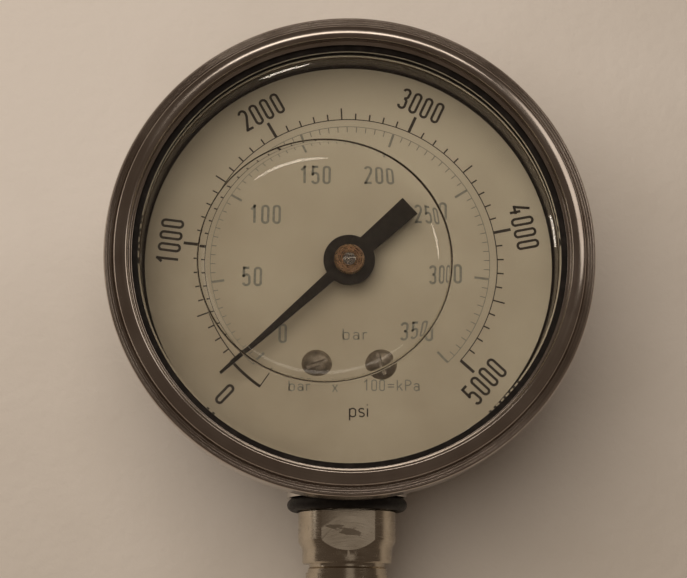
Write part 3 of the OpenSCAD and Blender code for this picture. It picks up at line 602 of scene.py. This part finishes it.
CLOSED = "closed"
RING = [CLOSED] + bow(0.18, 0.49, 0.18, 0, 180)[:-1] + bow(0.18, 0.18, 0.18, 180, 360)[:-1]
GLYPHS = {
    "0": (0.32, [[CLOSED] + bow(0.16, 0.84, 0.16, 0, 180)[:-1] + bow(0.16, 0.16, 0.16, 180, 360)[:-1]]),
    "1": (0.32, [[(0.02, 0.78), (0.19, 1.0), (0.19, 0)]]),
    "2": (0.32, [bow(0.16, 0.84, 0.16, 172, 0) + [(0.32, 0.76), (0.30, 0.64), (0.01, 0.0), (0.33, 0.0)]]),
    "3": (0.32, [bow(0.16, 0.84, 0.16, 172, -20, 10) + bow(0.14, 0.69, 0.17, -10, -90, 5),
                 bow(0.14, 0.35, 0.17, 90, 0, 5) + bow(0.16, 0.16, 0.16, 0, -172, 10)]),
    "4": (0.34, [[(0.20, 1.0), (0.0, 0.27), (0.36, 0.27)], [(0.26, 0.52), (0.26, 0.0)]]),
    "5": (0.32, [[(0.31, 1.0), (0.04, 1.0), (0.02, 0.54)] + bow(0.16, 0.46, 0.15, 140, 0, 7)
                 + bow(0.16, 0.16, 0.16, 0, -172, 10)]),
    "b": (0.36, [[(0, 1), (0, 0)], RING]),
    "a": (0.34, [bow(0.17, 0.51, 0.16, 165, 0, 6) + [(0.33, 0.0)],
                 [CLOSED] + bow(0.165, 0.20, 0.165, 0, 360, 12, 1.2)[:-1]]),
    "r": (0.24, [[(0, 0.67), (0, 0)], bow(0.16, 0.50, 0.16, 180, 60, 5)]),
    "x": (0.34, [[(0, 0.67), (0.34, 0)], [(0, 0), (0.34, 0.67)]]),
    "=": (0.44, [[(0, 0.58), (0.44, 0.58)], [(0, 0.34), (0.44, 0.34)]]),
    "k": (0.34, [[(0, 1), (0, 0)], [(0.31, 0.67), (0.02, 0.28)], [(0.12, 0.42), (0.34, 0)]]),
    "P": (0.36, [[(0, 0), (0, 1)], [(0.0, 1.0)] + bow(0.12, 0.75, 0.25, 90, -90, 8) + [(0, 0.5)]]),
    "p": (0.36, [[(0, 0.67), (0, -0.3)], RING]),
    "s": (0.32, [bow(0.16, 0.505, 0.16, 30, 250, 9) + bow(0.16, 0.165, 0.16, 70, -150, 9)]),
    "i": (0.02, [[(0, 0.67), (0, 0)], [(0, 0.92), (0, 1.0)]]),
    " ": (0.30, []),
}


def write(text, height, gap, middle, turn=0.0, stretch=1.0):
    """Strokes of a text centred on a point of the dial; height is that of a capital, in millimetres."""
    run = sum(GLYPHS[c][0] * stretch + gap for c in text) - gap
    made, x = [], -run / 2
    for c in text:
        for stroke in GLYPHS[c][1]:
            loop = stroke[0] == CLOSED
            points = [(height * (x + stretch * p[0]), height * (p[1] - 0.5)) for p in stroke[loop:]]
            cos, sin = math.cos(math.radians(turn)), math.sin(math.radians(turn))
            made.append((loop, [(middle[0] + cos * a - sin * b, middle[1] + sin * a + cos * b)
                                for a, b in points]))
        x += GLYPHS[c][0] * stretch + gap
    return made


SHARP = math.radians(38)  # a stroke that turns by more than this has a corner


def split_corners(strokes, width):
    """Cuts each stroke at its sharp corners and lengthens the cut ends to meet squarely."""
    made = []
    for loop, points in strokes:
        if loop:
            made.append((loop, points))
            continue
        run = [points[0]]
        for k in range(1, len(points)):
            run.append(points[k])
            last = k == len(points) - 1
            if not last:
                a = Vector(points[k]) - Vector(points[k - 1])
                b = Vector(points[k + 1]) - Vector(points[k])
                if a.angle(b) < SHARP:
                    continue
                run[-1] = tuple(Vector(points[k]) + a.normalized() * width / 2)
            made.append((False, run))
            if not last:
                run = [tuple(Vector(points[k]) - b.normalized() * width / 2)]
    return made


def print_strokes(name, strokes, width, material):
    """A printed piece from flat strokes; width is in millimetres."""
    verts, edges = [], []
    for loop, points in split_corners(strokes, width):
        first = len(verts)
        verts += [(p[0], p[1], FACE) for p in points]
        edges += [(first + k, first + k + 1) for k in range(len(points) - 1)]
        if loop:
            edges.append((len(verts) - 1, first))
    piece = new_piece(name, verts, [], edges)
    grow(piece, stroke_tree, Width=width / 1000, Ink=INK / 1000, Material=material)
    piece.data.shade_flat()
    return piece


def polar(radius, angle):
    """A point of the dial by its radius and its direction in degrees."""
    return radius * math.cos(math.radians(angle)), radius * math.sin(math.radians(angle))


def joined(name, pieces):
    """Several meshes as one piece."""
    whole = bmesh.new()
    for piece in pieces:
        whole.from_mesh(piece.data)
    mesh = bpy.data.meshes.new(name)
    whole.to_mesh(mesh)
    whole.free()
    mesh.materials.append(pieces[0].data.materials[0])
    for piece in pieces:
        bpy.data.objects.remove(piece)
    result = bpy.data.objects.new(name, mesh)
    bpy.context.scene.collection.objects.link(result)
    return result


PSI_TICKS = 50
FIRST_TICK = 2
BOX_FROM, BOX_TO = ZERO + 7.5, ZERO - 6.8  # the thick bracket that stands for the zero mark
BOX_R = 22.15
FIGURES_R, NOUGHT_R = 25.9, 26.1  # radii of the figures' middles
psi_step = -SPAN / PSI_TICKS
psi_marks = grow(new_piece("psi_marks", [(0, 0, 0)], []), marks_tree, Count=PSI_TICKS + 1 - FIRST_TICK,
                 First=FIRST_TICK, Every_Medium=5, Every_Long=10, Zero_Angle=math.radians(ZERO),
                 Step=math.radians(psi_step), Radius=PSI_R / 1000, Short=0.00095, Medium=0.00175,
                 Long=0.00255, Thin=0.00021, Thick=0.00043, Ink=INK / 1000, Face=FACE / 1000,
                 Material=black_ink)
scale_arc = [(False, bow(0, 0, PSI_R, BOX_TO, ZERO - SPAN, 220))]
zero_box = [(False, bow(0, 0, BOX_R, BOX_TO, BOX_FROM, 16))]
zero_ends = [(False, [polar(22.3, a), polar(19.8, a)]) for a in (BOX_TO, BOX_FROM)]
numerals = []
for number_of in range(6):
    around = ZERO - SPAN * number_of / 5
    spot = polar(NOUGHT_R if number_of == 0 else FIGURES_R, around)
    upright = around - 90 if number_of < 5 else around + 90
    numerals += write(str(1000 * number_of), 3.0, 0.27, spot, upright)
psi_print = joined("psi_scale", [
    psi_marks, print_strokes("arc", scale_arc, 0.14, black_ink),
    print_strokes("box", zero_box, 0.4, black_ink), print_strokes("ends", zero_ends, 0.15, black_ink),
    print_strokes("figures", numerals, 0.38, black_ink),
    print_strokes("unit", write("psi", 1.75, 0.26, (1.35, -21.6), 0, 1.35), 0.2, black_ink)])

FULL_BAR, BAR_TICK = 350, 5
bar_step = SPAN * BAR / FULL_SCALE
bar_marks = grow(new_piece("bar_marks", [(0, 0, 0)], []), marks_tree, Count=FULL_BAR // BAR_TICK + 1, First=0,
                 Every_Medium=10, Every_Long=10, Zero_Angle=math.radians(ZERO + 180),
                 Step=-math.radians(bar_step * BAR_TICK), Radius=-BAR_R / 1000, Short=0.00085,
                 Medium=0.00085, Long=0.0021, Thin=0.00013, Thick=0.00034, Ink=INK / 1000,
                 Face=FACE / 1000, Material=grey_ink)
bar_arc = [(False, bow(0, 0, BAR_R, ZERO, ZERO - bar_step * FULL_BAR, 200))]
bar_figures = []
for bars in range(0, FULL_BAR + 1, 50):
    bar_figures += write(str(bars), 2.55, 0.30, polar(14.1, ZERO - bar_step * bars), 0, 1.1)
bar_words = write("bar", 1.55, 0.4, (0.9, -10.5), 0, 1.5)
bar_words += write("bar", 1.4, 0.36, (-7.0, -18.1), 0, 1.5)
bar_words += write("x", 1.5, 0.36, (-2.0, -18.2), 0, 1.3)
bar_words += write("100=kPa", 1.5, 0.3, (6.0, -18.0), 0, 1.4)
bar_print = joined("bar_scale", [
    bar_marks, print_strokes("inner_arc", bar_arc, 0.1, grey_ink),
    print_strokes("figures", bar_figures, 0.36, grey_ink), print_strokes("words", bar_words, 0.17, grey_ink)])
for piece in (psi_print, bar_print):
    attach(piece, "housing")


# ---- Pointer ----
# Stamped from thin sheet and painted black, with a square tail as its counterweight.
# A turned brass boss is riveted through its hub and pressed on the arbor.

def copy_of(node, name):
    """A merged copy of a CAD node's mesh."""
    mesh = nodes[node].data.copy()
    piece = bpy.data.objects.new(name, mesh)
    bpy.context.scene.collection.objects.link(piece)
    work = bmesh.new()
    work.from_mesh(mesh)
    bmesh.ops.remove_doubles(work, verts=work.verts, dist=1e-6)
    bmesh.ops.dissolve_limit(work, angle_limit=math.radians(1), verts=work.verts, edges=work.edges)
    work.to_mesh(mesh)
    work.free()
    return piece


pointer_paint, pointer_shader = finish_of("pointer_paint", (0.012, 0.011, 0.010), 0.4,
                                          Specular_IOR_Level=0.3)
pointer_tree = pointer_paint.node_tree
pointer_spot = place_on(pointer_tree)
pointer_tree.links.new(blend_colours(pointer_tree, mottle(pointer_tree, pointer_spot, 1.6, 5, 0.4, 0.8),
                                     (0.006, 0.005, 0.004), (0.02, 0.016, 0.013)),
                       pointer_shader.inputs["Base Color"])
pointer_tree.links.new(mottle(pointer_tree, pointer_spot, 2.5, 4, 0.3, 0.7, 0.3, 0.5),
                       pointer_shader.inputs["Roughness"])
raise_from(pointer_tree, pointer_shader, mottle(pointer_tree, pointer_spot, 4.0, 4), 6e-6)
hand = copy_of("pointer", "hand")
bevel(hand, 0.06, 40)
smooth_sides(hand, 30)
give(hand, pointer_paint)
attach(hand, "pointer_group")
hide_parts("pointer")

boss_metal = turned_metal("boss_metal", (0.62, 0.43, 0.28), (0.36, 0.23, 0.14), 0.26, fine=10.0, wear=0.0,
                          relief=6e-6)
BOSS_R, BOSS_HOLE, BOSS_WAIST = 2.2, 0.9, 1.54
BOSS_FOOT, HUB_FROM, HUB_TO, BOSS_TOP = 21.8, 22.3, 22.9, 23.9  # the hub sits in the waist
RING_STEP = 0.17  # feed of the facing tool
boss_rings = []
for ring in range(6):
    radius = 2.0 - RING_STEP * ring
    boss_rings += [(radius, BOSS_TOP - 0.06), (radius - 0.06, BOSS_TOP - 0.02),
                   (radius - 0.11, BOSS_TOP - 0.02), (radius - RING_STEP, BOSS_TOP - 0.06)]
boss = turned("boss", [(BOSS_HOLE, BOSS_FOOT), (2.1, BOSS_FOOT), (BOSS_R, 21.9), (BOSS_R, HUB_FROM),
                       (BOSS_WAIST, HUB_FROM), (BOSS_WAIST, HUB_TO), (BOSS_R, HUB_TO), (BOSS_R, 23.62)]
              + bow(2.02, 23.64, 0.18, 0, 80, 4) + boss_rings + [(BOSS_HOLE, BOSS_TOP - 0.12)], 128)
smooth_sides(boss, 20)
give(boss, boss_metal)
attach(boss, "pointer_group")
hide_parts("pointer_boss")


# ---- Filling ----
# Clear glycerine fills the case and damps the hand. It doesn't reach the window everywhere:
# one large flat bubble of air is left under it.

def clear(name, tint, bend):
    """Clear stuff that lamps shine through; bend is its refractive index."""
    material, shader = finish_of(name, tint, 0.0, Transmission_Weight=1.0, IOR=bend)
    tree = material.node_tree
    lamp_side = wire(tree, "ShaderNodeBsdfTransparent", Color=(*[c ** 0.5 for c in tint], 1))
    either = wire(tree, "ShaderNodeMixShader", _0=wire(tree, "ShaderNodeLightPath").outputs["Is Shadow Ray"])
    tree.links.new(shader.outputs[0], either.inputs[1])
    tree.links.new(lamp_side.outputs[0], either.inputs[2])
    tree.links.new(either.outputs[0], tree.nodes["Material Output"].inputs["Surface"])
    return material


WINDOW_BACK = 26.6
FILL_TOP = WINDOW_BACK - 0.02
FILL_FLOOR = 19.2
BUBBLE_R = 17.75
BUBBLE_DEPTH = 2.64
BUBBLE_AT = (-3.6, -0.6)  # its centre on the dial
SQUASH = 0.02  # the bubble is a little shorter up the dial than across it
BEND_LENGTH = 1.37  # how far the surface curves, from its surface tension and weight
SURFACE_STEPS, KEPT = 400, 8  # small steps along the curve, of which every eighth is kept


def meniscus(depth):
    """(distance in from the rim, depth) of a liquid surface that starts steeply and flattens out."""
    tilt = 2 * math.asin(min(1.0, depth / (2 * BEND_LENGTH)))
    points, x, d = [(0.0, 0.0)], 0.0, 0.0
    step = 7.0 * BEND_LENGTH / SURFACE_STEPS
    for k in range(SURFACE_STEPS):
        x += step * math.cos(tilt)
        d += step * math.sin(tilt)
        tilt = 2 * math.asin(max(0.0, min(1.0, (depth - d) / (2 * BEND_LENGTH))))
        if k % KEPT == KEPT - 1:
            points.append((x, d))
    return points


pool = [(0, FILL_FLOOR), (INSIDE_R, FILL_FLOOR), (INSIDE_R, FILL_TOP)]
pool += [(BUBBLE_R - x, FILL_TOP - d) for x, d in meniscus(BUBBLE_DEPTH)]
pool += [(0, pool[-1][1])]
filling = turned("filling", pool, 256)
for vertex in filling.data.vertices:
    across = math.hypot(vertex.co.x, vertex.co.y) * 1000
    if across < INSIDE_R - 0.7 and vertex.co.z * 1000 > FILL_FLOOR + 0.3:
        share = 1 - max(0.0, across - BUBBLE_R) / 11
        vertex.co.y *= 1 - SQUASH * share
        vertex.co.x += BUBBLE_AT[0] / 1000 * share
        vertex.co.y += BUBBLE_AT[1] / 1000 * share
smooth_sides(filling, 40)
glycerine = clear("glycerine", (1.0, 0.985, 0.94), 1.47)
give(filling, glycerine)
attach(filling, "housing")


# ---- Window ----
# A round pane of laminated glass with a ground step at its edge. It is pressed into the rubber gasket,
# and the bezel's lip holds both down.

PANE_R, STEP_R = 30.25, 29.65
STEP_AT, PANE_TOP = 28.9, 29.6
glass = clear("window_glass", (1.0, 0.995, 0.98), 1.5)
window = turned("pane", [(0, WINDOW_BACK), (PANE_R - 0.15, WINDOW_BACK), (PANE_R, WINDOW_BACK + 0.15),
                         (PANE_R, STEP_AT), (STEP_R, STEP_AT), (STEP_R, PANE_TOP - 0.22),
                         (STEP_R - 0.22, PANE_TOP), (0, PANE_TOP)], 256)
smooth_sides(window, 30)
give(window, glass)
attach(window, "housing")
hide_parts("window")


# ---- Bezel ----
# A stainless ring, spun over the case's rim with the window and gasket inside it. Its lip presses on the
# gasket, its bead stands highest, and its skirt is curled under the rim.

bezel_steel = turned_metal("bezel_steel", (0.63, 0.575, 0.525), (0.44, 0.38, 0.335), 0.16, fine=5.0,
                           wear=-0.2, relief=1.0e-6)
RIDGE_R, RIDGE_STEP, RIDGES = 0.15, 0.33, 3  # fine ridges left by the spinning roller
ridges = []
for k in range(RIDGES):
    ridges += bow(33.2 + RIDGE_STEP * k, 30.79, RIDGE_R, 170, 10, 6)
bezel_outline = (
    [(30.4, 29.45)] + bow(30.52, 29.98, 0.12, 180, 100, 4) + bow(30.62, 30.36, 0.26, -70, -15, 4)
    + bow(31.3, 31.45, 0.5, 168, 100, 8) + bow(31.35, 29.45, 2.5, 90, 58, 12)
    + [(32.86, 31.3), (32.95, 30.86), (33.03, 30.8)] + ridges + bow(33.8, 30.40, 0.5, 75, 0, 7)
    + [(34.28, 29.4), (34.3, 27.5)] + bow(33.65, 25.1, 0.65, 0, -90, 7)
    + [(32.0, 24.45)] + bow(31.95, 24.8, 0.35, -90, -270, 6)
    + [(33.4, 25.15), (33.5, 25.25), (33.5, 29.85), (32.95, 30.0), (32.05, 30.9), (31.4, 29.75),
       (31.3, 29.45)])
bezel = turned("bezel", bezel_outline, 288)
smooth_sides(bezel, 36)
give(bezel, bezel_steel)
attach(bezel, "housing")
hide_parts("bezel_ring")


# ---- Floor, light and camera ----
# A sheet of pale board under one wide soft lamp. Three more light only what is polished, and three small
# ones light only the bubble's edge or the stem. A long lens looks down, a little from the stem's side.

board, board_shader = finish_of("board", (0.76, 0.71, 0.66), 0.8)
board_tree = board.node_tree
board_spot = place_on(board_tree)
# The board is painted paler towards the upper left and darker towards the lower right, as the lamp's light
# falls off, with a random mottle added.
across_board = wire(board_tree, "ShaderNodeVectorMath", {"operation": "DOT_PRODUCT"}, _0=board_spot,
                    _1=(-0.45, 0.89, 0)).outputs["Value"]
painted_light_and_mottle = wire(board_tree, "ShaderNodeMapRange", Value=across_board, From_Min=-60, From_Max=60,
             To_Min=-0.5, To_Max=0.5).outputs[0]
painted_light_and_mottle = node_math(board_tree, "ADD", painted_light_and_mottle, mottle(board_tree, board_spot, 0.02, 3, 0.3, 0.7, 0.2, 0.8))
board_tree.links.new(blend_colours(board_tree, painted_light_and_mottle, (0.62, 0.565, 0.50), (0.80, 0.745, 0.69)),
                     board_shader.inputs["Base Color"])
raise_from(board_tree, board_shader, mottle(board_tree, board_spot, 0.5, 5), 7e-5)
BOARD_HALF, BOARD_TOP = 1500, -0.3
floor = new_piece("floor", [(x * BOARD_HALF, y * BOARD_HALF, BOARD_TOP)
                            for x, y in ((-1, -1), (1, -1), (1, 1), (-1, 1))], [(0, 1, 2, 3)])
give(floor, board)

world = bpy.data.worlds.new("room")
world.use_nodes = True
world.node_tree.nodes["Background"].inputs["Color"].default_value = (0.088, 0.066, 0.050, 1)
world.node_tree.nodes["Background"].inputs["Strength"].default_value = 1.0
bpy.context.scene.world = world


def lamp(name, spot, target, width, height, power, colour):
    """A soft oval lamp, in metres and watts."""
    data = bpy.data.lights.new(name, "AREA")
    data.shape, data.size, data.size_y, data.energy, data.color = "ELLIPSE", width, height, power, colour
    light = bpy.data.objects.new(name, data)
    bpy.context.scene.collection.objects.link(light)
    light.location = spot
    light.rotation_euler = (Vector(target) - Vector(spot)).to_track_quat("-Z", "Y").to_euler()
    return light


warm = (1.0, 0.90, 0.79)
MIDDLE = (0, 0, 0.03)  # of the gauge
sky = lamp("sky_light", (-0.13, 0.12, 0.45), (0, 0, 0.02), 0.55, 0.55, 1.95, warm)
sky.visible_glossy = sky.visible_transmission = False
for name, spot, width, height, power in (("north_lamp", (0.0, 0.42, 0.60), 0.42, 0.12, 0.30),
                                         ("north_east_lamp", (0.52, 0.33, 0.50), 0.50, 0.40, 0.50),
                                         ("west_lamp", (-0.62, 0.16, 0.08), 0.34, 0.10, 0.09)):
    lamp(name, spot, MIDDLE, width, height, power, warm).visible_diffuse = False
for name, spot, width, height, power, pieces in (
        ("bubble_lamp", (0.053, 0.0, 0.60), 0.055, 0.11, 0.13, (filling, window)),
        ("bubble_side_lamp", (-0.24, 0.093, 0.60), 0.10, 0.055, 0.13, (filling, window)),
        ("stem_lamp", (0.07, -0.02, 0.60), 0.22, 0.25, 0.034, (stem, thread))):
    small = lamp(name, spot, MIDDLE, width, height, power, warm)
    small.visible_diffuse = False
    small.light_linking.receiver_collection = bpy.data.collections.new(name + "_pieces")
    for piece in pieces:
        small.light_linking.receiver_collection.objects.link(piece)

camera_data = bpy.data.cameras.new("camera")
camera_data.lens = 78.6
camera_data.sensor_width = 36
camera_data.clip_start, camera_data.clip_end = 0.01, 10
camera = bpy.data.objects.new("camera", camera_data)
bpy.context.scene.collection.objects.link(camera)
LEAN, SIDEWAYS = -12.5, 1.5  # degrees
DIAL_FROM_LENS = (0.00100, 0.00567, -0.20834)  # place of the bezel's centre as the camera sees it, metres
turn = (Matrix.Rotation(math.radians(LEAN), 3, "X") @ Matrix.Rotation(math.radians(SIDEWAYS), 3, "Y"))
spot = Vector((0, 0, 0.031)) - turn.transposed() @ Vector(DIAL_FROM_LENS)
camera.matrix_world = Matrix.Translation(spot) @ turn.transposed().to_4x4()
bpy.context.scene.camera = camera
bpy.context.scene.view_settings.view_transform = "Standard"
